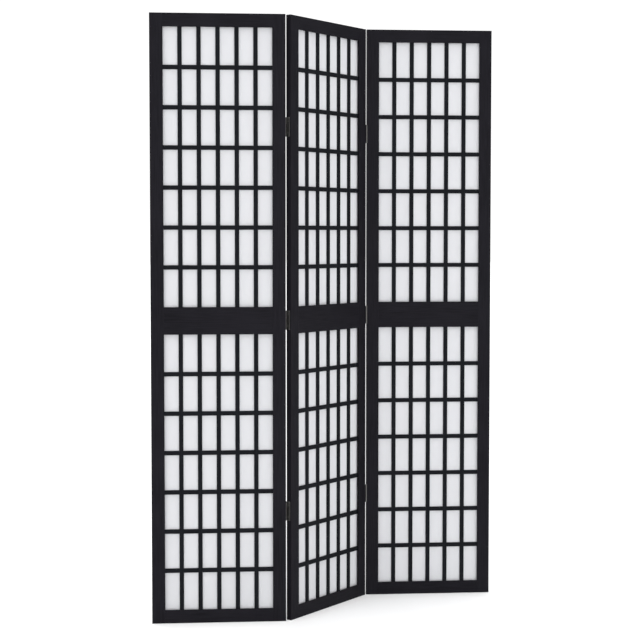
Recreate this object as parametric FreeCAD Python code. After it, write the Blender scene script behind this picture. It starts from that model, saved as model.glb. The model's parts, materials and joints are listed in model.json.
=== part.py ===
import FreeCAD, Part
import math
import os

# A folding shoji screen of three panels that stand in a zigzag. Each panel is a timber frame of two
# stiles and three rails. Its two openings hold a half-lapped lattice with a sheet of translucent paper
# behind it. Three butt hinges join each pair of panels, so every leaf, knuckle and pin is a piece here.
#
# Millimetres. +X runs along the two outer panels, +Y is behind the screen and +Z is up. The origin is on
# the floor, under the middle of the middle panel.

Vector = FreeCAD.Vector
Placement = FreeCAD.Placement
Rotation = FreeCAD.Rotation

# ---- Panel frame ----
panel_width = 398.0
panel_height = 1800.0
frame_depth = 17.0
stile_width = 39.0
top_rail_height = 40.0
middle_rail_height = 81.0
bottom_rail_height = 40.0
middle_rail_base = 859.5  # floor to the middle rail's lower edge
arris = 0.5  # chamfer round the panel's outer edges

# ---- Mortise and tenon at each rail's ends ----
tenon_length = 20.0
tenon_thickness = 6.0
tenon_shoulder = 8.0  # from a rail's edge to its tenon
mortise_clearance = 0.1  # round the tenon and past its end

# ---- Lattice ----
vertical_bar_count = 5
cross_bar_count = 6
bar_width = 13.0
bar_depth = 5.0
lattice_recess = 3.0  # from the frame's front face back to the bars
lap_clearance = 0.05  # each side of a bar in its half-lap notch

# ---- Paper, and the groove that holds it and the bars' ends ----
paper_thickness = 0.5
groove_depth = 6.0
groove_end_clearance = 0.5  # between a bar's end and the groove's floor
groove_side_clearance = 0.1  # behind the paper

# ---- Butt hinges ----
hinge_height = 57.0
hinge_inset = 300.0  # from the panel's top or bottom to the nearer end of its hinge
leaf_width = 13.0  # across the panel's end face
leaf_thickness = 1.0
gain_depth = 0.5  # how deep each leaf is let into the panel's end
gain_clearance = 0.1  # round the let-in leaf
leaf_gap = 0.2  # between the two leaves when the panels are in line
knuckle_count = 3
knuckle_gap = 0.2  # between one knuckle and the next
knuckle_wall = 1.05
knuckle_clearance = 0.15  # between the knuckles and the panel's corners
leaf_notch_clearance = 0.3  # between a leaf's notch and the other leaf's knuckle
pin_diameter = 2.8
pin_clearance = 0.05  # round the pin, in the knuckles

# ---- How the screen stands ----
fold_angle = 50.0  # how far each pair of panels is turned from lying in line

# ---- Worked out from the sizes above ----
opening_width = panel_width - 2 * stile_width
opening_left = stile_width
opening_right = panel_width - stile_width
openings = {
    "lower": (bottom_rail_height, middle_rail_base),
    "upper": (middle_rail_base + middle_rail_height, panel_height - top_rail_height),
}
bar_back = lattice_recess + bar_depth
groove_front = lattice_recess
groove_back = bar_back + paper_thickness + groove_side_clearance
tongue = groove_depth - groove_end_clearance  # how far bars and paper reach into the groove

joint_gap = 2 * (leaf_thickness - gain_depth) + leaf_gap
knuckle_radius = pin_diameter / 2 + pin_clearance + knuckle_wall
bore_radius = pin_diameter / 2 + pin_clearance

# The hinge's axis stands off the panel's face just far enough for the knuckles to clear the panel's corners.
# Each corner is cut back, from half the joint's gap, by the chamfer or by the leaf's gain.
corner_aside = joint_gap / 2 + max(arris, gain_depth)
axis_standoff = math.sqrt((knuckle_radius + knuckle_clearance) ** 2 - corner_aside**2)


def block(x, y, z):
    """A square-cornered piece between the two limits given along each axis."""
    size = (x[1] - x[0], y[1] - y[0], z[1] - z[0])
    return Part.makeBox(*size, Vector(x[0], y[0], z[0]))


def prism(points, reach):
    """The closed outline through the points, extruded along the vector reach."""
    outline = Part.makePolygon(points + points[:1])
    return Part.Face(outline).extrude(reach)


# ---------------------------------------------------------------- frame members


def panel_board():
    """The panel's outer form, with its front and back edges eased all round."""
    board = Part.makeBox(panel_width, frame_depth, panel_height)
    faces = (0.0, frame_depth)
    eased = [e for e in board.Edges if any(flat_at(e, y) for y in faces)]
    return board.makeChamfer(arris, eased)


def flat_at(edge, y):
    """True for an edge that lies in the plane at the depth y."""
    return all(abs(v.Point.y - y) < 1e-6 for v in edge.Vertexes)


def grooved_edge(z, inward):
    """Section points, front to back, of a rail's edge at height z. The groove is cut inward, up or down."""
    floor = z + inward * groove_depth
    return [(groove_front, z), (groove_front, floor), (groove_back, floor), (groove_back, z)]


def rail(bottom, top, groove_below, groove_above):
    """A rail between the stiles, grooved on each edge that meets an opening, with a tenon at each end."""
    lower_edge = grooved_edge(bottom, 1) if groove_below else []
    upper_edge = grooved_edge(top, -1) if groove_above else []
    section = [(0, bottom)] + lower_edge + [(frame_depth, bottom)]
    section += [(frame_depth, top)] + upper_edge[::-1] + [(0, top)]
    points = [Vector(opening_left, y, z) for y, z in section]
    body = prism(points, Vector(opening_width, 0, 0))
    tenon_x = (opening_left - tenon_length, opening_right + tenon_length)
    tenons = block(tenon_x, tenon_cheeks(0), (bottom + tenon_shoulder, top - tenon_shoulder))
    tenons = tenons.cut(block((opening_left, opening_right), (0, frame_depth), (bottom, top)))
    return body.fuse(tenons).removeSplitter()


def tenon_cheeks(clearance):
    """Front and back of a tenon, which is centred in the frame's depth, or of the mortise round it."""
    half = tenon_thickness / 2 + clearance
    return (frame_depth / 2 - half, frame_depth / 2 + half)


def left_stile():
    """A full-height upright with a blind mortise for each rail and a groove beside each opening."""
    upright = block((0, stile_width), (0, frame_depth), (0, panel_height))
    mortise_x = (stile_width - tenon_length - mortise_clearance, stile_width)
    for bottom, top, _, _ in rail_places.values():
        low = bottom + tenon_shoulder - mortise_clearance
        high = top - tenon_shoulder + mortise_clearance
        upright = upright.cut(block(mortise_x, tenon_cheeks(mortise_clearance), (low, high)))
    groove_x = (stile_width - groove_depth, stile_width)
    for bottom, top in openings.values():
        groove_z = (bottom - groove_depth, top + groove_depth)
        upright = upright.cut(block(groove_x, (groove_front, groove_back), groove_z))
    return upright


# Each rail's lower and upper edge, and whether those edges are grooved.
rail_places = {
    "bottom_rail": (0.0, bottom_rail_height, False, True),
    "middle_rail": (middle_rail_base, middle_rail_base + middle_rail_height, True, True),
    "top_rail": (panel_height - top_rail_height, panel_height, True, False),
}


def frame_members():
    """The five members of one frame, trimmed to the panel's eased outer form."""
    board = panel_board()
    left = left_stile()
    members = {"left_stile": left}
    members["right_stile"] = left.mirror(Vector(panel_width / 2, 0, 0), Vector(1, 0, 0))
    for name, place in rail_places.items():
        members[name] = rail(*place)
    return {name: member.common(board) for name, member in members.items()}


# ---------------------------------------------------------------- lattice and paper


def vertical_bar_centres():
    """The vertical bars leave panes of one width between them and beside the stiles."""
    pane = (opening_width - vertical_bar_count * bar_width) / (vertical_bar_count + 1)
    return [opening_left + (i + 1) * (pane + bar_width) - bar_width / 2 for i in range(vertical_bar_count)]


def cross_bar_centres(bottom, top):
    """The cross bars' centre lines divide the opening's height evenly."""
    step = (top - bottom) / (cross_bar_count + 1)
    return [bottom + (i + 1) * step for i in range(cross_bar_count)]


def lapped_edge(start, end, crossings, face, lap):
    """Side-view points along a bar's notched face, from start to end, with a half-lap at each crossing."""
    half = bar_width / 2 + lap_clearance
    points = [(start, face)]
    for centre in crossings:
        points += [(centre - half, face), (centre - half, lap)]
        points += [(centre + half, lap), (centre + half, face)]
    return points + [(end, face)]


def vertical_bar(centre, bottom, top):
    """An upright bar, notched from behind so that its front runs unbroken."""
    crossings = cross_bar_centres(bottom, top)
    lap = lattice_recess + bar_depth / 2
    low, high = bottom - tongue, top + tongue
    side = [(low, lattice_recess)] + lapped_edge(low, high, crossings, bar_back, lap)
    side += [(high, lattice_recess)]
    points = [Vector(centre - bar_width / 2, y, z) for z, y in side]
    return prism(points, Vector(bar_width, 0, 0))


def cross_bar(centre):
    """A level bar, notched from the front, where the vertical bars cross it."""
    lap = lattice_recess + bar_depth / 2
    left, right = opening_left - tongue, opening_right + tongue
    side = [(left, bar_back)] + lapped_edge(left, right, vertical_bar_centres(), lattice_recess, lap)
    side += [(right, bar_back)]
    points = [Vector(x, y, centre - bar_width / 2) for x, y in side]
    return prism(points, Vector(0, 0, bar_width))


def paper(bottom, top):
    """The sheet behind the bars, with all four edges in the groove."""
    width = (opening_left - tongue, opening_right + tongue)
    height = (bottom - tongue, top + tongue)
    return block(width, (bar_back, bar_back + paper_thickness), height)


def infill(bottom, top):
    """The lattice and the paper of one opening."""
    uprights = [vertical_bar(x, bottom, top) for x in vertical_bar_centres()]
    levels = [cross_bar(z) for z in cross_bar_centres(bottom, top)]
    return {
        "vertical_bars": Part.makeCompound(uprights),
        "cross_bars": Part.makeCompound(levels),
        "paper": paper(bottom, top),
    }


def panel():
    """One panel's pieces. Its left front corner stands on the origin, and it runs along +X."""
    pieces = frame_members()
    for level, (bottom, top) in openings.items():
        for name, piece in infill(bottom, top).items():
            pieces[f"{level}_{name}"] = piece
    return pieces


# ---------------------------------------------------------------- hinges
# A hinge is drawn round its axis, which is the Z axis here, from z = 0 up. The panels lie in front of it,
# in line: their faces are at y = -axis_standoff, and their ends at x = -joint_gap / 2 and joint_gap / 2.


def leaf(own_knuckles):
    """The leaf of the panel at -X, whose plate runs into its own knuckles and is notched for the others."""
    front = -axis_standoff - leaf_width
    outer = -leaf_gap / 2 - leaf_thickness
    plate = block((outer, outer + leaf_thickness), (front, 0), (0, hinge_height))
    shape = plate.fuse(Part.makeCylinder(knuckle_radius, hinge_height))
    pitch = hinge_height / knuckle_count
    notch_front = -knuckle_radius - leaf_notch_clearance
    for i in range(knuckle_count):
        if i not in own_knuckles:
            low = i * pitch - knuckle_gap / 2
            notch_z = (low, low + pitch + knuckle_gap)
            notch = block((-knuckle_radius, knuckle_radius), (notch_front, knuckle_radius), notch_z)
            shape = shape.cut(notch)
    shape = shape.cut(Part.makeCylinder(bore_radius, hinge_height))
    return shape.removeSplitter()


def hinge():
    """The two leaves, in line, and their pin. The inner leaf, on the middle panel, has the end knuckles."""
    inner_knuckles = range(0, knuckle_count, 2)
    outer_knuckles = range(1, knuckle_count, 2)
    inner_leaf = leaf(inner_knuckles).mirror(Vector(0, 0, 0), Vector(1, 0, 0))
    pin = Part.makeCylinder(pin_diameter / 2, hinge_height)
    return {"outer_leaf": leaf(outer_knuckles), "inner_leaf": inner_leaf, "pin": pin}


# ---------------------------------------------------------------- the whole screen

turned = Rotation(Vector(0, 0, 1), fold_angle)
half_turn = Placement(Vector(0, 0, 0), Rotation(Vector(0, 0, 1), 180))

# The hinge axis between the left and the middle panel is behind them, and the axis between the middle and
# the right panel is in front of them, half a turn away round the screen's middle.
left_axis = turned.multVec(Vector(-(panel_width + joint_gap) / 2, frame_depth / 2 + axis_standoff, 0))
right_axis = half_turn.multVec(left_axis)

hinge_bases = {
    "bottom": hinge_inset,
    "middle": (panel_height - hinge_height) / 2,
    "top": panel_height - hinge_inset - hinge_height,
}

# Which ends of each panel carry leaves, and whether the knuckles there stand behind the panel.
hinged_stiles = {
    "left_panel": {"right_stile": True},
    "middle_panel": {"left_stile": True, "right_stile": False},
    "right_panel": {"left_stile": False},
}

middle_corner = turned.multVec(Vector(-panel_width / 2, -frame_depth / 2, 0))
left_corner = left_axis - Vector(panel_width + joint_gap / 2, frame_depth + axis_standoff, 0)
right_corner = right_axis + Vector(joint_gap / 2, axis_standoff, 0)

panel_places = {
    "left_panel": Placement(left_corner, Rotation()),
    "middle_panel": Placement(middle_corner, turned),
    "right_panel": Placement(right_corner, Rotation()),
}


def placed(shape, place):
    """A copy of the shape, moved to its place."""
    copy = shape.copy()
    copy.Placement = place.multiply(copy.Placement)
    return copy


def gains(stile_name, knuckles_behind):
    """The shallow pockets for three leaves in a panel's end, open to the face that the knuckles stand on."""
    x = (panel_width - gain_depth, panel_width) if stile_name == "right_stile" else (0, gain_depth)
    reach = leaf_width + gain_clearance
    y = (frame_depth - reach, frame_depth) if knuckles_behind else (0, reach)
    height = hinge_height + gain_clearance
    return [block(x, y, (base - gain_clearance, base + height)) for base in hinge_bases.values()]


def hinged_panel(panel_name):
    """One panel's pieces, with the gains for its leaves cut into its stiles."""
    pieces = panel()
    for stile_name, knuckles_behind in hinged_stiles[panel_name].items():
        pieces[stile_name] = pieces[stile_name].cut(gains(stile_name, knuckles_behind))
    return pieces


def screen():
    """Every node of the screen, by name."""
    nodes = {}
    for panel_name, place in panel_places.items():
        for piece_name, piece in hinged_panel(panel_name).items():
            nodes[f"{panel_name}_{piece_name}"] = placed(piece, place)
    for level, base in hinge_bases.items():
        for piece_name, piece in hinge().items():
            along = Rotation() if piece_name == "outer_leaf" else turned
            place = Placement(left_axis + Vector(0, 0, base), along)
            nodes[f"left_{level}_hinge_{piece_name}"] = placed(piece, place)
            nodes[f"right_{level}_hinge_{piece_name}"] = placed(piece, half_turn.multiply(place))
    return nodes


os.makedirs("parts", exist_ok=True)
for name, shape in screen().items():
    shape.exportStep(f"parts/{name}.step")
print(f"Hinge axes at x, y = {left_axis.x:.4f}, {left_axis.y:.4f} and {right_axis.x:.4f}, {right_axis.y:.4f}")
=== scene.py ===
# %% [markdown]
# # A three-panel shoji screen
# A shoji screen is a row of light timber frames. Each holds a lattice of thin bars with a sheet of paper
# glued behind it. The CAD model already has every stile, rail, leaf and pin at its true size, so this lesson
# dresses it: the timber gets its lacquer, and the lattice, the paper and the hinges are made again with
# finer detail.

# %% Load the frame
import json
import math
import random

import bmesh
import bpy
from mathutils import Matrix, Vector


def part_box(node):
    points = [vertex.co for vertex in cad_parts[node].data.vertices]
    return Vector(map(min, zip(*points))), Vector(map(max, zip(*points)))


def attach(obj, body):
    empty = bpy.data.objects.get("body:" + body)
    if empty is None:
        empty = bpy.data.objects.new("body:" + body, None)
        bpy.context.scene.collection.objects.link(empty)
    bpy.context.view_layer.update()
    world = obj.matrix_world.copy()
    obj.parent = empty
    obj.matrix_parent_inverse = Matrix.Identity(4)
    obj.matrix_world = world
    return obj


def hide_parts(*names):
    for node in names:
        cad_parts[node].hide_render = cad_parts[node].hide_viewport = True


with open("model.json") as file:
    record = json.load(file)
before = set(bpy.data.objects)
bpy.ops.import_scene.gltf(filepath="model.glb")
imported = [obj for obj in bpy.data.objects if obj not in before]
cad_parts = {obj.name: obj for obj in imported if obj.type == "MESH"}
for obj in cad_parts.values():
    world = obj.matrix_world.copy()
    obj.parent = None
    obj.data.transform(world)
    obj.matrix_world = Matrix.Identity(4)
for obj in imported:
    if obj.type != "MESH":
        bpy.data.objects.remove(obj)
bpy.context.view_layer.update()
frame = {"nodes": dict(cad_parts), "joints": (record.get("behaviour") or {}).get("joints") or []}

# %% [markdown]
# ## Where the panels stand
# All three panels are alike, so each piece is made once in its panel's own place: left front corner at the
# origin, X along the panel, Y back and Z up. A matrix then carries it to where that panel stands. The outer
# panels' corners are read from their stiles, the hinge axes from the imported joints, and the middle panel is
# turned about the origin.

# %% Sizes of a panel, in metres
MM = 0.001
panel_width, frame_depth = 398 * MM, 17 * MM
stile_width, rail_height, middle_rail_height = 39 * MM, 40 * MM, 81 * MM
middle_rail_base = 859.5 * MM
bar_width, bar_depth, lattice_recess = 13 * MM, 5 * MM, 3 * MM
groove_reach = 5.5 * MM  # how far bars and paper go into the frame's groove
paper_thickness = 0.5 * MM
upright_count, rung_count = 5, 6  # bars in one opening
fold = math.radians(50)

opening_width = panel_width - 2 * stile_width
opening_height = middle_rail_base - rail_height
opening_bottoms = {"lower": rail_height, "upper": middle_rail_base + middle_rail_height}

# %% Carry each panel to its place
turn = Matrix.Rotation(fold, 4, "Z")
places = {
    "left_panel": Matrix.Translation(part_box("left_panel_left_stile")[0]),
    "middle_panel": turn @ Matrix.Translation((-panel_width / 2, -frame_depth / 2, 0)),
    "right_panel": Matrix.Translation(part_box("right_panel_left_stile")[0]),
}
hinge_axes = {joint["name"].split("_")[0]: Vector(joint["pos_m"][:2] + [0]) for joint in frame["joints"]}
for panel, place in places.items():
    print(panel, "corner at", [round(x, 4) for x in place.translation])
print("hinge axes at", {side: [round(x, 4) for x in axis] for side, axis in hinge_axes.items()})

# %% [markdown]
# ## The camera
# The photograph looks at the screen from a little left of its middle, about 4.8 m away and at chest height.
# These numbers come from fitting the corners of the frames and bars. Most of the fit is in the camera's tilt,
# and only a small shift is left, so that every other view stays well framed.

# %% Put a thing in the scene
def linked(name, data):
    """A new object with that data, in the scene."""
    thing = bpy.data.objects.new(name, data)
    bpy.context.scene.collection.objects.link(thing)
    return thing


# %% Set the camera
eye = Vector((-0.3871, -4.6169, 1.1519))
tilt_down, swing_right = math.radians(2.85), math.radians(4.512)

camera = linked("camera", bpy.data.cameras.new("camera"))
camera.location = eye
camera.rotation_euler = (math.pi / 2 - tilt_down, 0, -swing_right)
camera.data.sensor_width, camera.data.lens = 36, 84.85
camera.data.shift_y = -0.015
camera.data.clip_start, camera.data.clip_end = 0.1, 200
bpy.context.scene.camera = camera
print("camera is", round(eye.length, 2), "m from the origin")

# %% [markdown]
# ## A small language for nodes
# A finish is a sum of patterns, and sums read best as sums. `Wire` wraps one socket, so that `1 - mask` or
# `grain * 0.3` adds its own Math node. `Tree` has one method for every other node, in shaders and in
# geometry alike: the settings go first, because they decide which sockets a node has.

# %% A socket that can be reckoned with
class Wire:
    """One output of a node. Arithmetic on it adds Math nodes to the same tree."""

    def __init__(self, tree, socket):
        self.tree, self.socket = tree, socket

    def sum(self, operation, *terms):
        return self.tree.node("ShaderNodeMath", {"operation": operation}, dict(enumerate(terms)))

    def __add__(self, other):
        return self.sum("ADD", self, other)

    def __sub__(self, other):
        return self.sum("SUBTRACT", self, other)

    def __rsub__(self, other):
        return self.sum("SUBTRACT", other, self)

    def __mul__(self, other):
        return self.sum("MULTIPLY", self, other)

    def __truediv__(self, other):
        return self.sum("DIVIDE", self, other)

    __radd__, __rmul__ = __add__, __mul__

    def size(self):
        """The value without its sign."""
        return self.sum("ABSOLUTE", self)

    def __getitem__(self, name):
        """Another output of the same node."""
        return Wire(self.tree, self.socket.node.outputs[name])


# %% A tree of nodes
class Tree:
    """A node tree under construction."""

    def __init__(self, nodes):
        self.nodes = nodes

    def node(self, kind, settings=None, inputs=None):
        """A new node of that kind, as the wire of its first output that is in use."""
        made = self.nodes.nodes.new(kind)
        for name, value in (settings or {}).items():
            setattr(made, name, value)
        for name, value in (inputs or {}).items():
            self.feed(made.inputs[name], value)
        shown = [socket for socket in made.outputs if socket.enabled]
        return Wire(self, shown[0]) if shown else made

    def feed(self, socket, value):
        """Links a wire into the socket, or sets the socket's own value."""
        if isinstance(value, Wire):
            self.nodes.links.new(value.socket, socket)
        elif isinstance(value, (list, tuple)) and value and isinstance(value[0], Wire):
            for wire in value:
                self.nodes.links.new(wire.socket, socket)
        else:
            socket.default_value = value

    def vector(self, operation, first, second):
        return self.node("ShaderNodeVectorMath", {"operation": operation}, {0: first, 1: second})

    def blend(self, factor, first, second):
        """A colour between the first, at factor 0, and the second, at factor 1."""
        sides = {"Factor": factor, 6: first, 7: second}
        return self.node("ShaderNodeMix", {"data_type": "RGBA"}, sides)["Result"]

    def noise(self, place, scale, detail=2.0, roughness=0.5):
        values = {"Vector": place, "Scale": scale, "Detail": detail, "Roughness": roughness}
        return self.node("ShaderNodeTexNoise", None, values)

    def between(self, value, low, high):
        """0 where value is below low, 1 where it is above high, and smooth between them."""
        limits = {"Value": value, "From Min": low, "From Max": high}
        return self.node("ShaderNodeMapRange", {"interpolation_type": "SMOOTHSTEP"}, limits)


def new_finish(name):
    """An empty material and the tree that it is made in."""
    material = bpy.data.materials.new(name)
    material.use_nodes = True
    material.node_tree.nodes.clear()
    return material, Tree(material.node_tree)


def show(tree, shader):
    tree.node("ShaderNodeOutputMaterial", None, {"Surface": shader})


# %% [markdown]
# ## Black lacquer on wood
# The frames are softwood under a thin satin black lacquer. It is sprayed on, so the grain only telegraphs
# through it: streaks a few millimetres wide and long along the timber, and fine pores between them. A flat
# black would look like plastic. The streaks stir the colour, the gloss and the bump a little, and the
# arrises, which hands touch, are rubbed a shade brighter and smoother.

# %% Where the grain runs
between_planks, rail_from_stile = 3.7, 1.9  # metres in the noise, so that no two timbers match
seam_width, seam_fade = 0.06 * MM, 0.3 * MM  # of the hair line where a rail meets a stile


def in_the_panel(tree, panel):
    """Coordinates in metres from the panel's own corner, along it, back and up."""
    place = tree.node("ShaderNodeTexCoord")["Object"]
    heading = fold if panel == "middle_panel" else 0
    own = {"Vector": place, "Location": places[panel].translation, "Rotation": (0, 0, heading)}
    return tree.node("ShaderNodeMapping", {"vector_type": "TEXTURE"}, own)


def frame_timber(tree, panel, runs_up):
    """Coordinates whose third number runs along the timber, and a mask that is 1 on a rail's shoulders."""
    place = in_the_panel(tree, panel)
    parts = tree.node("ShaderNodeSeparateXYZ", None, {"Vector": place})
    order = ("X", "Y", "Z") if runs_up else ("Z", "Y", "X")
    own = tree.node("ShaderNodeCombineXYZ", None, {a: parts[b] for a, b in zip("XYZ", order)})
    plank = list(places).index(panel) * between_planks + (0 if runs_up else rail_from_stile)
    grain = tree.vector("ADD", own, (plank, 0, plank))
    from_shoulder = (parts["X"] - panel_width / 2).size() - opening_width / 2
    seam = 1 - tree.between(from_shoulder.size(), seam_width, seam_fade)
    return grain, 0 if runs_up else seam


def worn_edges(tree, width):
    """The normal as if the edges were rounded, and a mask that is 1 on them."""
    rounded = tree.node("ShaderNodeBevel", {"samples": 6}, {"Radius": width})
    true = tree.node("ShaderNodeNewGeometry")["Normal"]
    flatness = tree.vector("DOT_PRODUCT", rounded, true)["Value"]
    return rounded, tree.between(1 - flatness, 0.004, 0.12)


# %% Mix the lacquer
hand_worn = 0.6 * MM  # how far from an edge hands have rubbed it
coat_relief = 0.05 * MM  # between the coat's high and low places
streak_stretch, pore_stretch = (1, 1, 0.035), (1, 1, 0.02)  # both are long along the timber


def lacquer(name, timber, black, worn, dullness):
    """Satin lacquer over wood. timber gives the grain's coordinates and the seams."""
    material, tree = new_finish(name)
    grain, seam = timber(tree)
    along_streaks = tree.vector("MULTIPLY", grain, streak_stretch)
    along_pores = tree.vector("MULTIPLY", grain, pore_stretch)
    streaks = tree.noise(along_streaks, scale=330, detail=5, roughness=0.62)
    pores = tree.between(tree.noise(along_pores, scale=1900), 0.6, 0.74)
    haze = tree.noise(grain, scale=7, detail=3)
    peel = tree.noise(grain, scale=1300, detail=1)
    rounded, rubbed = worn_edges(tree, hand_worn)
    rub = rubbed * tree.between(tree.noise(grain, scale=38, detail=3), 0.35, 0.7)

    deep = tuple(tone * 0.55 for tone in black[:3]) + (1,)
    tone = tree.between(streaks * 0.7 + haze * 0.3, 0.3, 0.62) * (1 - seam)
    colour = tree.blend(rub * 0.55, tree.blend(tone, deep, black), worn)
    roughness = dullness + (haze - 0.5) * 0.14 + (streaks - 0.5) * 0.1 + pores * 0.1 - rub * 0.08
    height = streaks * 0.5 - pores * 0.7 + peel * 0.16 - seam * 1.6
    relief = {"Strength": 0.55, "Distance": coat_relief, "Height": height, "Normal": rounded}
    bump = tree.node("ShaderNodeBump", None, relief)
    skin = {"Base Color": colour, "Roughness": roughness, "Normal": bump, "Specular IOR Level": 0.03}
    show(tree, tree.node("ShaderNodeBsdfPrincipled", None, skin))
    return material


# %% Lacquer the stiles and rails
frame_black, frame_worn, frame_dullness = (0.0137, 0.0129, 0.0166, 1), (0.0305, 0.0288, 0.034, 1), 0.4
for panel in places:
    finishes = {}
    for kind in ("stile", "rail"):
        def timber(tree):
            return frame_timber(tree, panel, kind == "stile")

        finishes[kind] = lacquer(f"{panel}_{kind}_lacquer", timber, frame_black, frame_worn, frame_dullness)
    kinds = tuple(finishes)
    members = [name for name in frame["nodes"] if name.startswith(panel) and name.endswith(kinds)]
    for name in members:
        for slot in frame["nodes"][name].material_slots:
            slot.material = finishes[name.rsplit("_", 1)[1]]
    print(panel, "has", len(members), "lacquered members")

# %% [markdown]
# ## The lattice
# Five upright bars and six level ones fill each opening, half-lapped where they cross. The uprights' fronts
# run unbroken, and the level bars show as rungs between them. Bars like these could be modelled one by one,
# but a rule fits them better: Geometry Nodes lays out the whole lattice from a few sizes. One bar section,
# with its long edges eased, is drawn along a line for each kind of bar, and grids of points carry the copies.
# Each copy also gets its own stretch of grain, stored as an attribute that the lacquer reads.

# %% Name a tree's inputs
def tree_with_inputs(name, sizes, counts, finish):
    """A geometry tree whose inputs are lengths in metres, whole numbers and one finish."""
    nodes = bpy.data.node_groups.new(name, "GeometryNodeTree")
    face = nodes.interface
    face.new_socket("Geometry", in_out="INPUT", socket_type="NodeSocketGeometry")
    face.new_socket("Geometry", in_out="OUTPUT", socket_type="NodeSocketGeometry")
    for size in sizes:
        face.new_socket(size, in_out="INPUT", socket_type="NodeSocketFloat")
    for count in counts:
        face.new_socket(count, in_out="INPUT", socket_type="NodeSocketInt")
    face.new_socket(finish, in_out="INPUT", socket_type="NodeSocketMaterial")
    return nodes


# %% One bar from its section
vectors = {"data_type": "FLOAT_VECTOR"}  # the setting of a node that gives, stores or reads vectors


def bar(tree, given, length, along):
    """A bar with eased long edges, from the origin to length along X or Z, centred on that line."""
    across = {"Width": given["Bar Width"], "Height": given["Bar Depth"]}
    if along == "X":
        across = {"Width": given["Bar Depth"], "Height": given["Bar Width"]}
    section = tree.node("GeometryNodeCurvePrimitiveQuadrilateral", {"mode": "RECTANGLE"}, across)
    easing = {"Curve": section, "Count": 3, "Radius": given["Eased Edge"], "Limit Radius": True}
    section = tree.node("GeometryNodeFilletCurve", {"mode": "POLY"}, easing)
    reach = tree.node("ShaderNodeCombineXYZ", None, {along: length})
    line = tree.node("GeometryNodeCurvePrimitiveLine", None, {"Start": (0, 0, 0), "End": reach})
    drawn = {"Curve": line, "Profile Curve": section, "Fill Caps": True}
    return tree.node("GeometryNodeCurveToMesh", None, drawn)


def copies(tree, points, piece, seed):
    """The piece on every point, each with a random place in the timber it was cut from."""
    placed = tree.node("GeometryNodeInstanceOnPoints", None, {"Points": points, "Instance": piece})
    chance = {"Min": (-9, -9, -9), "Max": (9, 9, 9), "Seed": seed}
    cut_from = tree.node("FunctionNodeRandomValue", vectors, chance)
    kept = {"Geometry": placed, "Name": "cut_from", "Value": cut_from}
    placed = tree.node("GeometryNodeStoreNamedAttribute", {**vectors, "domain": "INSTANCE"}, kept)
    return tree.node("GeometryNodeRealizeInstances", None, {"Geometry": placed})


def grained(tree, bars, swap):
    """Stores each point's place in its own timber, with the third number along the bar."""
    cut_from = tree.node("GeometryNodeInputNamedAttribute", vectors, {"Name": "cut_from"})
    place = tree.node("ShaderNodeSeparateXYZ", None, {"Vector": tree.node("GeometryNodeInputPosition")})
    order = ("Z", "Y", "X") if swap else ("X", "Y", "Z")
    own = tree.node("ShaderNodeCombineXYZ", None, {a: place[b] for a, b in zip("XYZ", order)})
    kept = {"Geometry": bars, "Name": "timber", "Value": tree.vector("ADD", own, cut_from)}
    return tree.node("GeometryNodeStoreNamedAttribute", {**vectors, "domain": "POINT"}, kept)


# %% Lay out the lattice
opening_sizes = ("Left", "Bottom", "Width", "Height", "Next Opening")
bar_sizes = ("Bar Width", "Bar Depth", "Recess", "Eased Edge", "Reach")
counts = ("Uprights", "Levels", "Seed")
lattice_nodes = tree_with_inputs("lattice_of_bars", opening_sizes + bar_sizes, counts, "Lacquer")
tree = Tree(lattice_nodes)
given = tree.node("NodeGroupInput")

pane = (given["Width"] - given["Uprights"] * given["Bar Width"]) / (given["Uprights"] + 1)
pitch = pane + given["Bar Width"]
rise = given["Height"] / (given["Levels"] + 1)
middle = given["Recess"] + given["Bar Depth"] / 2

upright = bar(tree, given, given["Height"] + given["Reach"] * 2, "Z")
first_x = given["Left"] + pitch - given["Bar Width"] / 2
foot = {"X": first_x, "Y": middle, "Z": given["Bottom"] - given["Reach"]}
first = tree.node("ShaderNodeCombineXYZ", None, foot)
step = tree.node("ShaderNodeCombineXYZ", None, {"X": pitch})
row = {"Count": given["Uprights"], "Start Location": first, "Offset": step}
row = tree.node("GeometryNodeMeshLine", None, row)
uprights = grained(tree, copies(tree, row, upright, given["Seed"]), False)

rung = bar(tree, given, pane, "X")
span, climb = pitch * given["Uprights"], rise * (given["Levels"] - 1)
grid = {"Size X": span, "Size Y": climb, "Vertices X": given["Uprights"] + 1, "Vertices Y": given["Levels"]}
grid = tree.node("GeometryNodeMeshGrid", None, grid)
centre = {"X": given["Left"] + span / 2, "Y": middle, "Z": given["Bottom"] + given["Height"] / 2}
centre = tree.node("ShaderNodeCombineXYZ", None, centre)
stood = {"Geometry": grid, "Rotation": (math.pi / 2, 0, 0), "Translation": centre}
grid = tree.node("GeometryNodeTransform", None, stood)
rungs = grained(tree, copies(tree, grid, rung, given["Seed"] + 1), True)

one = tree.node("GeometryNodeJoinGeometry", None, {"Geometry": [uprights, rungs]})
lift = tree.node("ShaderNodeCombineXYZ", None, {"Z": given["Next Opening"]})
other = tree.node("GeometryNodeTransform", None, {"Geometry": one, "Translation": lift})
both = tree.node("GeometryNodeJoinGeometry", None, {"Geometry": [one, other]})
whole = tree.node("GeometryNodeRealizeInstances", None, {"Geometry": both})
whole = tree.node("GeometryNodeSetMaterial", None, {"Geometry": whole, "Material": given["Lacquer"]})
tree.node("NodeGroupOutput", None, {"Geometry": whole})
print("the lattice tree has", len(lattice_nodes.nodes), "nodes")

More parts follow.
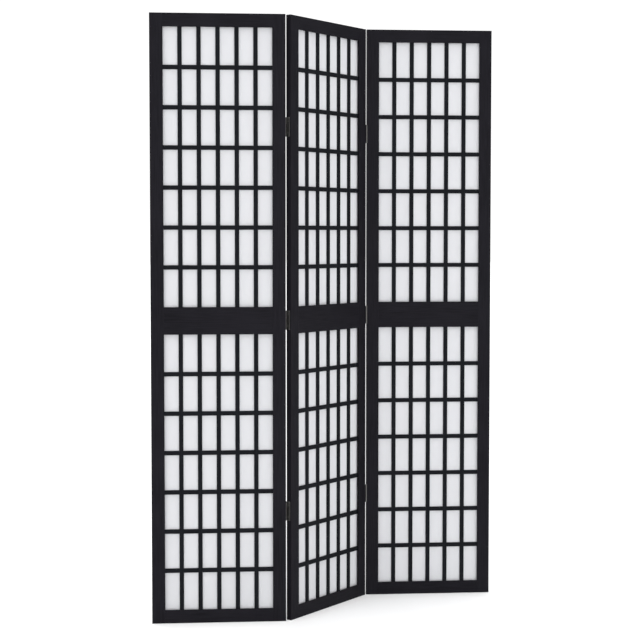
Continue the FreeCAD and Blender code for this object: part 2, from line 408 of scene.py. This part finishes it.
# %% Turn a geometry tree into a plain mesh
def grown(name, nodes, inputs, seeds=None):
    """A mesh object that the tree made. Its inputs are set by their sockets' identifiers first."""
    seedling = linked(name, seeds or bpy.data.meshes.new(name))
    modifier = seedling.modifiers.new("tree", "NODES")
    modifier.node_group = nodes
    sockets = {item.name: item.identifier for item in nodes.interface.items_tree if item.in_out == "INPUT"}
    for label, value in inputs.items():
        modifier[sockets[label]] = value
    graph = bpy.context.evaluated_depsgraph_get()
    finished = seedling.evaluated_get(graph)
    mesh = bpy.data.meshes.new_from_object(finished, preserve_all_data_layers=True, depsgraph=graph)
    seedling.modifiers.clear()
    seedling.data = mesh
    mesh.name = name
    return seedling


def spans(thing):
    """The size of an object's mesh along each axis, in millimetres."""
    points = [vertex.co for vertex in thing.data.vertices]
    return [round(1000 * (max(p[i] for p in points) - min(p[i] for p in points)), 2) for i in range(3)]


# %% Make a lattice for each panel
def bar_timber(tree):
    return tree.node("ShaderNodeAttribute", {"attribute_name": "timber"})["Vector"], 0


lattice_black, lattice_worn, lattice_dullness = (0.0107, 0.0115, 0.0141, 1), (0.0237, 0.0254, 0.0288, 1), 0.42
lattice_lacquer = lacquer("lattice_lacquer", bar_timber, lattice_black, lattice_worn, lattice_dullness)
for seed, (panel, place) in enumerate(places.items()):
    inputs = {
        "Left": stile_width, "Bottom": rail_height, "Width": opening_width, "Height": opening_height,
        "Next Opening": opening_bottoms["upper"] - opening_bottoms["lower"], "Bar Width": bar_width,
        "Bar Depth": bar_depth, "Recess": lattice_recess, "Eased Edge": 0.5 * MM, "Reach": groove_reach,
        "Uprights": upright_count, "Levels": rung_count, "Seed": 10 * seed, "Lacquer": lattice_lacquer,
    }
    lattice = grown(f"{panel}_lattice", lattice_nodes, inputs)
    print(lattice.name, "spans", spans(lattice), "mm in", len(lattice.data.polygons), "faces")
    lattice.data.transform(place)
    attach(lattice, panel)
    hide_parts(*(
        f"{panel}_{level}_{kind}_bars" for level in opening_bottoms for kind in ("vertical", "cross")
    ))

# %% [markdown]
# ## The paper
# Shoji paper is strong, white and full of long fibres. It is pasted to the back of the bars while damp and
# shrinks tight as it dries, so each pane is nearly flat, with a hint of slack in its middle. A flat box would
# shade as dead plastic, and cloth simulation would find almost nothing to do. The sheet is therefore drawn
# by a rule: a grid that is held still at every bar and in the groove, and eases back a little in each pane.

# %% Lines that the paper is held along
def steps_across(start, end, count):
    return [start + (end - start) * i / count for i in range(count + 1)]


def paper_lines(low, size, bars, centres):
    """Grid lines from groove to groove, and for each line the pane it is in and how far across."""
    edges = [low - groove_reach, low]
    for centre in centres:
        edges += [centre - bar_width / 2, centre + bar_width / 2]
    edges += [low + size, low + size + groove_reach]
    lines = []
    for i, (start, end) in enumerate(zip(edges, edges[1:])):
        held = i % 2 == 0
        count = 1 if held else bars
        for j, at in enumerate(steps_across(start, end, count)[:-1]):
            lines.append((at, i // 2, 0.0 if held else j / count))
    return lines + [(edges[-1], 0, 0.0)]


pane_width = (opening_width - upright_count * bar_width) / (upright_count + 1)
first_upright = stile_width + pane_width + bar_width / 2
across_centres = [first_upright + i * (pane_width + bar_width) for i in range(upright_count)]
most_panes = 9  # in a row or a column of panes, counting the ends in the grooves
steps_wide, steps_tall = 8, 12  # faces across and up each pane
least_slack, most_slack = 0.12, 0.34  # how far a pane eases back, in millimetres
most_lean = 0.35  # how far a pane's deepest place leaves its middle, as a share

# %% Draw a sheet
def paper_sheet(name, bottom, seed):
    """A sheet half a millimetre thick, closed all round, in its panel's own place."""
    chance = random.Random(seed)
    rise = opening_height / (rung_count + 1)
    up_centres = [bottom + (i + 1) * rise for i in range(rung_count)]
    columns = paper_lines(stile_width, opening_width, steps_wide, across_centres)
    rows = paper_lines(bottom, opening_height, steps_tall, up_centres)
    panes = [(a, b) for a in range(most_panes) for b in range(most_panes)]
    slack = {pane: chance.uniform(least_slack, most_slack) * MM for pane in panes}
    lean = {pane: chance.uniform(-most_lean, most_lean) for pane in panes}

    def ease(x_line, z_line):
        (_, a, s), (_, b, t) = x_line, z_line
        belly = math.sin(math.pi * s) * math.sin(math.pi * t)
        ripple = 0.22 * math.sin(2 * math.pi * s + 5 * lean[a, b]) * math.sin(3 * math.pi * t) * belly
        return slack[a, b] * (belly * (1 + lean[a, b] * (2 * t - 1)) + ripple)

    front = lattice_recess + bar_depth
    layers = (front, front + paper_thickness)
    points = [(x[0], layer + ease(x, z), z[0]) for layer in layers for z in rows for x in columns]
    wide, layer_size = len(columns), len(columns) * len(rows)
    faces = []
    for j in range(len(rows) - 1):
        for i in range(wide - 1):
            a = j * wide + i
            faces.append((a, a + 1, a + 1 + wide, a + wide))
            b = a + layer_size
            faces.append((b, b + wide, b + 1 + wide, b + 1))
    top = (len(rows) - 1) * wide
    rim = list(range(wide)) + [j * wide + wide - 1 for j in range(1, len(rows))]
    rim += [top + i for i in range(wide - 2, -1, -1)] + [j * wide for j in range(len(rows) - 2, 0, -1)]
    for a, b in zip(rim, rim[1:] + rim[:1]):
        faces.append((a, a + layer_size, b + layer_size, b))
    mesh = bpy.data.meshes.new(name)
    mesh.from_pydata(points, [], faces)
    mesh.shade_smooth()
    return linked(name, mesh)


# %% [markdown]
# Paper glows because light soaks through it. Part of its finish is a plain diffuse surface, and part is a
# Translucent shader, which shows the light that falls on the other side. Long fibres let less light through,
# so they are drawn with stretched, bent noise, once in each of two directions, and steer the mix of the two.

# %% Mix the paper
paper_shade, paper_white = (0.781, 0.784, 0.8, 1), (0.806, 0.808, 0.819, 1)
paper_glow = (0.799, 0.801, 0.815, 1)  # of the light that comes through
light_through = 0.5  # the share of the paper's look that comes from behind it
paper_relief = 0.06 * MM  # between a fibre's top and the hollow beside it
fibre_stray = 0.03  # how far, in metres, a fibre bends off its line


def fibres(tree, place, angle, scale):
    """Fine threads at an angle, as the thin places where a stretched noise crosses its middle."""
    bent = tree.noise(place, scale=14)["Color"]
    strayed = tree.vector("ADD", place, tree.vector("MULTIPLY", bent, (fibre_stray,) * 3))
    laid = {"Vector": strayed, "Rotation": (0, angle, 0), "Scale": (1, 1, 0.12)}
    depth = tree.noise(tree.node("ShaderNodeMapping", None, laid), scale, detail=1)
    return 1 - tree.between((depth - 0.5).size(), 0.0, 0.02)


def washi():
    """White paper with long fibres, that lets about half of the light through."""
    material, tree = new_finish("shoji_paper")
    place = tree.node("ShaderNodeTexCoord")["Object"]
    rising, falling = fibres(tree, place, angle=0.5, scale=130), fibres(tree, place, angle=-0.8, scale=95)
    threads = rising * 0.6 + falling * 0.4
    cloud = tree.noise(place, scale=60, detail=4, roughness=0.6)
    tooth = tree.noise(place, scale=2200)
    tone = tree.between(cloud * 0.7 + threads * 0.3, 0.25, 0.75)
    colour = tree.blend(tone, paper_shade, paper_white)
    roughness = 0.86 + (cloud - 0.5) * 0.1
    height = threads * 0.5 + tooth * 0.5
    bump = tree.node("ShaderNodeBump", None, {"Strength": 0.35, "Distance": paper_relief, "Height": height})
    skin = {"Base Color": colour, "Roughness": roughness, "Normal": bump, "Specular IOR Level": 0.25}
    skin = tree.node("ShaderNodeBsdfPrincipled", None, skin)
    through = tree.node("ShaderNodeBsdfTranslucent", None, {"Color": paper_glow})
    share = light_through + (cloud - 0.5) * 0.08 - threads * 0.05
    show(tree, tree.node("ShaderNodeMixShader", None, {0: share, 1: skin, 2: through}))
    return material


paper_finish = washi()

# %% Hang the sheets in the grooves
papers = []
for panel, place in places.items():
    for level, bottom in opening_bottoms.items():
        sheet = paper_sheet(f"{panel}_{level}_paper_sheet", bottom, len(papers))
        sheet.data.transform(place)
        sheet.data.materials.append(paper_finish)
        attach(sheet, panel)
        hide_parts(f"{panel}_{level}_paper")
        papers.append(sheet)

# %% [markdown]
# ## The hinges
# Small butt hinges of steel, blackened and then rubbed to a dark pewter. The CAD leaves have the plate and
# the knuckles. What a joiner also sees is the countersinks with their screws and the softened edges, so each
# leaf is copied, its doubled corners merged, and two countersinks are cut into it.

# %% Blackened steel
steel_rubbed = 0.35 * MM  # how far from an edge the black is rubbed off
scratch_depth, scratch_stretch = 0.03 * MM, (1, 1, 0.05)  # the scratches run up the hinge


def blackened_steel(name, dark, bright, roughness):
    """Steel with a dark chemical finish, rubbed through on its edges, with fine scratches."""
    material, tree = new_finish(name)
    place = tree.node("ShaderNodeTexCoord")["Object"]
    mottle = tree.noise(place, scale=240, detail=5, roughness=0.65)
    scratch = tree.noise(tree.vector("MULTIPLY", place, scratch_stretch), scale=5200)
    rounded, rubbed = worn_edges(tree, steel_rubbed)
    rub = rubbed * tree.between(mottle, 0.38, 0.6)
    tone = tree.between(mottle * 0.6 + scratch * 0.4, 0.36, 0.64)
    colour = tree.blend(tone, tuple(x * 0.72 for x in dark[:3]) + (1,), dark)
    colour = tree.blend(rub * 0.8, colour, bright)
    height = scratch * 0.5 + mottle * 0.5
    relief = {"Strength": 0.3, "Distance": scratch_depth, "Height": height, "Normal": rounded}
    bump = tree.node("ShaderNodeBump", None, relief)
    values = {"Base Color": colour, "Metallic": 1.0, "Normal": bump}
    values["Roughness"] = roughness + (mottle - 0.5) * 0.3 - rub * 0.1
    show(tree, tree.node("ShaderNodeBsdfPrincipled", None, values))
    return material


hinge_steel = blackened_steel("hinge_steel", (0.17, 0.167, 0.163, 1), (0.34, 0.331, 0.314, 1), 0.42)
screw_steel = blackened_steel("screw_steel", (0.204, 0.2, 0.191, 1), (0.39, 0.382, 0.357, 1), 0.36)

# %% Where each leaf sits
hinge_height, leaf_width, leaf_thickness, leaf_gap = 57 * MM, 13 * MM, 1 * MM, 0.2 * MM
hinge_bottoms = {"bottom": 300 * MM, "middle": 871.5 * MM, "top": 1443 * MM}
axis_standoff = hinge_axes["left"].y - places["left_panel"].translation.y - frame_depth
screw_heights = (11.4 * MM, 45.6 * MM)
screws_across = 0.52  # of the leaf's width in from the panel's face
countersink_radius, countersink_throat = 2.8 * MM, 1.7 * MM
spare = 0.3 * MM  # how far the cutter stands out of the leaf on each side
softened_edge = 0.12 * MM
same_point = 0.002 * MM  # corners of the CAD triangles nearer than this are one


def leaf_place(side, level, leaf):
    """From a leaf's own place, with the axis along Z and the plate in front of it, to the row."""
    stand = Matrix.Translation(hinge_axes[side] + Vector((0, 0, hinge_bottoms[level])))
    facing = Matrix.Rotation(math.pi if side == "right" else 0, 4, "Z")
    return stand @ facing @ (turn @ Matrix.Diagonal((-1, 1, 1, 1)) if leaf == "inner" else Matrix())


def screw_holes(place):
    """The middle of each countersink on the leaf's inner face, and the way that face looks."""
    outward = (place.to_3x3() @ Vector((1, 0, 0))).normalized()
    across = -axis_standoff - screws_across * leaf_width
    return [(place @ Vector((-leaf_gap / 2, across, z)), outward) for z in screw_heights]


# %% Cut the countersinks and soften the edges
def countersink_cutter(holes):
    """Cones that open outwards, a little longer than the leaf is thick."""
    cones = bmesh.new()
    slope = (countersink_radius - countersink_throat) / leaf_thickness
    for point, outward in holes:
        centre = point - outward * (leaf_thickness / 2)
        pose = Matrix.Translation(centre) @ outward.to_track_quat("Z", "Y").to_matrix().to_4x4()
        bmesh.ops.create_cone(
            cones, cap_ends=True, segments=32, matrix=pose, depth=leaf_thickness + 2 * spare,
            radius1=countersink_throat - spare * slope, radius2=countersink_radius + spare * slope,
        )
    mesh = bpy.data.meshes.new("countersink_cutter")
    cones.to_mesh(mesh)
    cones.free()
    return linked("countersink_cutter", mesh)


def finished_leaf(node, holes):
    """A copy of a CAD leaf, merged, countersunk and with its edges softened."""
    shell = bmesh.new()
    shell.from_mesh(frame["nodes"][node].data)
    bmesh.ops.remove_doubles(shell, verts=shell.verts, dist=same_point)
    bmesh.ops.dissolve_limit(shell, angle_limit=math.radians(1), verts=shell.verts, edges=shell.edges)
    mesh = bpy.data.meshes.new(f"{node}_plate")
    shell.to_mesh(mesh)
    shell.free()
    leaf = linked(f"{node}_plate", mesh)
    cutter = countersink_cutter(holes)
    cut = leaf.modifiers.new("countersinks", "BOOLEAN")
    cut.operation, cut.solver, cut.object = "DIFFERENCE", "EXACT", cutter
    soften = leaf.modifiers.new("softened", "BEVEL")
    soften.width, soften.segments = softened_edge, 2
    soften.limit_method, soften.angle_limit = "ANGLE", math.radians(35)
    graph = bpy.context.evaluated_depsgraph_get()
    mesh = bpy.data.meshes.new_from_object(leaf.evaluated_get(graph), depsgraph=graph)
    leaf.modifiers.clear()
    bpy.data.objects.remove(cutter)
    leaf.data = mesh
    mesh.name = leaf.name
    mesh.shade_smooth()
    mesh.set_sharp_from_angle(angle=math.radians(32))
    mesh.materials.clear()
    mesh.materials.append(hinge_steel)
    return leaf


def open_edges(thing):
    """How many edges don't have exactly two faces. A closed piece has none."""
    shell = bmesh.new()
    shell.from_mesh(thing.data)
    count = sum(len(edge.link_faces) != 2 for edge in shell.edges)
    shell.free()
    return count


# %% Fit the leaves
holes_of = {panel: [] for panel in places}
for side in hinge_axes:
    for level in hinge_bottoms:
        for leaf in ("outer", "inner"):
            body = f"{side}_panel" if leaf == "outer" else "middle_panel"
            holes = screw_holes(leaf_place(side, level, leaf))
            node = f"{side}_{level}_hinge_{leaf}_leaf"
            plate = finished_leaf(node, holes)
            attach(plate, body)
            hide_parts(node)
            holes_of[body] += holes
print("last leaf has", len(plate.data.polygons), "faces and", open_edges(plate), "open edges")

# %% [markdown]
# Each leaf is held by two flat-head screws. A screw is a small thing repeated often, so one is made in a
# geometry tree, and a point at each countersink carries a copy. The point's own attribute says which way the
# face looks, and a random turn leaves every cross recess at its own angle, as a screwdriver does.

# %% Draw one screw and place the rest
head_sizes = ("Head Radius", "Neck Radius", "Head Depth")
recess_sizes = ("Recess Length", "Recess Width", "Recess Depth")
screw_nodes = tree_with_inputs("flat_head_screws", head_sizes + recess_sizes, ("Seed",), "Steel")
tree = Tree(screw_nodes)
given = tree.node("NodeGroupInput")
cone = {
    "Vertices": 30, "Depth": given["Head Depth"],
    "Radius Top": given["Head Radius"], "Radius Bottom": given["Neck Radius"],
}
head = tree.node("GeometryNodeMeshCone", None, cone)
top = tree.node("ShaderNodeCombineXYZ", None, {"Z": given["Head Depth"]})
arms = []
for long_side, short_side in (("X", "Y"), ("Y", "X")):
    sizes = {long_side: given["Recess Length"], short_side: given["Recess Width"]}
    sizes["Z"] = given["Recess Depth"] * 2
    arm = tree.node("GeometryNodeMeshCube", None, {"Size": tree.node("ShaderNodeCombineXYZ", None, sizes)})
    arms.append(tree.node("GeometryNodeTransform", None, {"Geometry": arm, "Translation": top}))
cut = {"operation": "DIFFERENCE", "solver": "EXACT"}
head = tree.node("GeometryNodeMeshBoolean", cut, {"Mesh 1": head, "Mesh 2": arms})
sunk = tree.node("ShaderNodeCombineXYZ", None, {"Z": given["Head Depth"] * -1})
head = tree.node("GeometryNodeTransform", None, {"Geometry": head, "Translation": sunk})

outward = tree.node("GeometryNodeInputNamedAttribute", vectors, {"Name": "outward"})
facing = tree.node("FunctionNodeAlignRotationToVector", {"axis": "Z"}, {"Vector": outward})
half_turn = {2: 0.0, 3: math.pi, "Seed": given["Seed"]}  # 2 and 3 are the least and the most
chance = tree.node("FunctionNodeRandomValue", {"data_type": "FLOAT"}, half_turn)["Value"]
spin = tree.node("FunctionNodeAxisAngleToRotation", None, {"Axis": (0, 0, 1), "Angle": chance})
turned = {"Rotation": facing, "Rotate By": spin}
turned = tree.node("FunctionNodeRotateRotation", {"rotation_space": "LOCAL"}, turned)
screws = {"Points": given["Geometry"], "Instance": head, "Rotation": turned}
screws = tree.node("GeometryNodeInstanceOnPoints", None, screws)
screws = tree.node("GeometryNodeRealizeInstances", None, {"Geometry": screws})
screws = tree.node("GeometryNodeSetMaterial", None, {"Geometry": screws, "Material": given["Steel"]})
tree.node("NodeGroupOutput", None, {"Geometry": screws})

# %% Drive the screws
below = 0.1 * MM  # how far a head's top lies under the leaf's face
for seed, (panel, holes) in enumerate(holes_of.items()):
    seeds = bpy.data.meshes.new(f"{panel}_screws")
    seeds.from_pydata([point - outward * below for point, outward in holes], [], [])
    looks = seeds.attributes.new("outward", "FLOAT_VECTOR", "POINT")
    looks.data.foreach_set("vector", [x for _, outward in holes for x in outward])
    inputs = {
        "Head Radius": 2.62 * MM, "Neck Radius": 1.66 * MM, "Head Depth": 0.9 * MM, "Recess Length": 2.9 * MM,
        "Recess Width": 0.55 * MM, "Recess Depth": 0.6 * MM, "Seed": seed, "Steel": screw_steel,
    }
    screws = grown(f"{panel}_screws", screw_nodes, inputs, seeds)
    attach(screws, panel)
    print(screws.name, "has", len(holes), "screws,", len(screws.data.polygons), "faces and", end=" ")
    print(open_edges(screws), "open edges")

# %% [markdown]
# A hinge pin is a straight rod whose ends are peened to low domes, so that it can't slide out. Its outline is
# turned about the axis, as on a lathe.

# %% Turn the pins
def lathed(outline, foot, sides=28):
    """Points and faces of an outline of (radius, height), from pole to pole, turned about a vertical axis."""
    (_, low), *rings, (_, high) = outline
    points = [foot + Vector((0, 0, low)), foot + Vector((0, 0, high))]
    for radius, height in rings:
        for i in range(sides):
            angle = 2 * math.pi * i / sides
            points.append(foot + Vector((radius * math.cos(angle), radius * math.sin(angle), height)))
    faces = []
    last = 2 + (len(rings) - 1) * sides
    for i in range(sides):
        j = (i + 1) % sides
        faces += [(0, 2 + j, 2 + i), (1, last + i, last + j)]
        for ring in range(len(rings) - 1):
            a = 2 + ring * sides
            faces.append((a + i, a + j, a + sides + j, a + sides + i))
    return points, faces


pin_radius = 1.4 * MM
dome = [(0, -0.25), (0.28, -0.235), (0.58, -0.165), (0.83, -0.025), (0.97, 0.15), (1, 0.33)]
dome = [(radius * pin_radius, height * pin_radius) for radius, height in dome]
outline = dome + [(radius, hinge_height - height) for radius, height in reversed(dome)]
points, faces = [], []
for axis in hinge_axes.values():
    for bottom in hinge_bottoms.values():
        more, shown = lathed(outline, axis + Vector((0, 0, bottom)))
        faces += [tuple(len(points) + i for i in face) for face in shown]
        points += more
mesh = bpy.data.meshes.new("hinge_pins")
mesh.from_pydata(points, [], faces)
mesh.shade_smooth()
mesh.materials.append(screw_steel)
pins = linked("hinge_pins", mesh)
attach(pins, "middle_panel")
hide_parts(*(f"{side}_{level}_hinge_pin" for side in hinge_axes for level in hinge_bottoms))
print("pins have", len(mesh.polygons), "faces and", open_edges(pins), "open edges")

# %% [markdown]
# ## The room
# A pale floor that runs out to a white horizon, even light from all round, one wide soft light overhead, and
# two weaker ones from the front and the back. The floor takes more of it than the upright panels do, so it
# goes to white, and the paper stays just below.

# %% Floor
floor_mesh = bpy.data.meshes.new("floor")
far = 60  # metres each way
corners = [(-far, -far, 0), (far, -far, 0), (far, far, 0), (-far, far, 0)]
floor_mesh.from_pydata(corners, [], [(0, 1, 2, 3)])
floor = linked("floor", floor_mesh)
floor_finish, tree = new_finish("pale_floor")
place = tree.node("ShaderNodeTexCoord")["Object"]
clouding = tree.noise(place, scale=1.7, detail=4)
colour = tree.blend(clouding, (0.94, 0.94, 0.94, 1), (0.965, 0.965, 0.965, 1))
matt = {"Base Color": colour, "Roughness": 0.75 + clouding * 0.1, "Specular IOR Level": 0.1}
show(tree, tree.node("ShaderNodeBsdfPrincipled", None, matt))
floor_mesh.materials.append(floor_finish)

# %% Light
room_glow, white_seen = 0.66, 1.1  # how bright the room's light is, and the white that the camera sees
world = bpy.data.worlds.new("white_room")
world.use_nodes = True
world.node_tree.nodes.clear()
tree = Tree(world.node_tree)
seen = tree.node("ShaderNodeLightPath")["Is Camera Ray"]
glow = tree.node("ShaderNodeBackground", None, {"Color": (0.985, 0.99, 1, 1), "Strength": room_glow})
white = tree.node("ShaderNodeBackground", None, {"Color": (1, 1, 1, 1), "Strength": white_seen})
room = tree.node("ShaderNodeMixShader", None, {0: seen, 1: glow, 2: white})
tree.node("ShaderNodeOutputWorld", None, {"Surface": room})
bpy.context.scene.world = world


def soft_light(name, strength, spread, aim):
    """Far light that is spread wide, in degrees, and travels along aim."""
    lamp = linked(name, bpy.data.lights.new(name, "SUN"))
    lamp.data.energy, lamp.data.angle = strength, math.radians(spread)
    lamp.rotation_euler = Vector(aim).to_track_quat("-Z", "Y").to_euler()


soft_light("overhead_light", 2.25, 80, (0.0, 0.1, -1))
soft_light("front_light", 0.71, 60, (-0.1, 0.95, -0.25))
soft_light("back_light", 0.59, 60, (0.1, -0.95, -0.25))

view = bpy.context.scene.view_settings
view.view_transform = "Standard"
